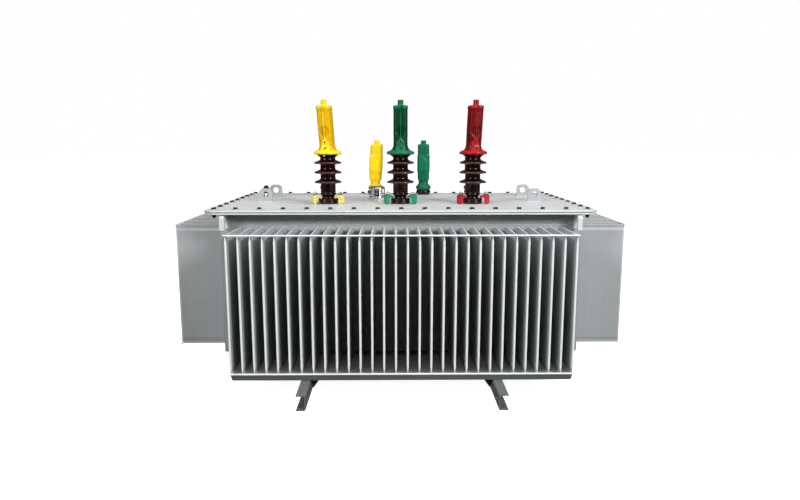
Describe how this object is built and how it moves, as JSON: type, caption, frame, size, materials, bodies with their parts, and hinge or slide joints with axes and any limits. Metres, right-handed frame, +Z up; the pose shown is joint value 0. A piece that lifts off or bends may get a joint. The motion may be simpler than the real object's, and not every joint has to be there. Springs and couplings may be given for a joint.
{
  "type": "power transformer",
  "caption": "Oil-filled power transformer: sealed corrugated tank with cooling fins, bolted lid, high- and low-voltage bushings under coloured caps, on two base channels.",
  "frame": {"origin": "centre of the footprint at ground level", "axes": "+X along the length of the tank, +Y towards the low-voltage side, +Z up"},
  "size_m": [2.0876, 1.705, 1.2635],
  "materials": {
    "tank_paint": "satin grey enamel",
    "lid_paint": "satin light grey enamel",
    "fin_paint": "satin grey enamel, thin on the edges",
    "base_paint": "satin dark grey enamel",
    "gasket_rubber": "matte black",
    "porcelain": "dark brown gloss glaze",
    "yellow_cap": "yellow moulded plastic",
    "green_cap": "green moulded plastic",
    "red_cap": "red moulded plastic",
    "black_cap": "black moulded plastic",
    "yellow_clamp": "pale yellow enamel on cast clamps",
    "green_clamp": "green enamel on cast clamps",
    "red_clamp": "red enamel on cast clamps",
    "bright_steel": "bright stainless",
    "bolt_steel": "blackened bolts with zinc washers"
  },
  "bodies": {
    "root": {"tank_body": "tank_paint", "tank_flange": "tank_paint", "lid_gasket": "gasket_rubber", "lid": "lid_paint", "front_cooling_fins": "fin_paint", "back_cooling_fins": "fin_paint", "left_cooling_fins": "fin_paint", "right_cooling_fins": "fin_paint", "front_fin_bars": "fin_paint", "back_fin_bars": "fin_paint", "left_fin_bars": "fin_paint", "right_fin_bars": "fin_paint", "tank_floor_plate": "base_paint", "bearing_bars": "base_paint", "base_tray": "base_paint", "tray_packers": "base_paint", "left_base_channel": "base_paint", "right_base_channel": "base_paint", "channel_gussets": "base_paint", "tank_hooks": "tank_paint", "front_left_lug": "lid_paint", "front_right_lug": "lid_paint", "back_left_lug": "lid_paint", "back_right_lug": "lid_paint", "hv_bushing_a": "porcelain", "hv_bushing_b": "porcelain", "hv_bushing_c": "porcelain", "hv_cover_a": "yellow_cap", "hv_cover_b": "green_cap", "hv_cover_c": "red_cap", "hv_clamps_a": "yellow_clamp", "hv_clamps_b": "green_clamp", "hv_clamps_c": "red_clamp", "lv_bushing_n": "porcelain", "lv_bushing_a": "porcelain", "lv_bushing_b": "porcelain", "lv_bushing_c": "porcelain", "lv_cover_n": "black_cap", "lv_cover_a": "yellow_cap", "lv_cover_b": "green_cap", "lv_cover_c": "red_cap", "pressure_relief_valve": "bright_steel", "thermometer_pocket": "black_cap"}
  },
  "joints": []
}
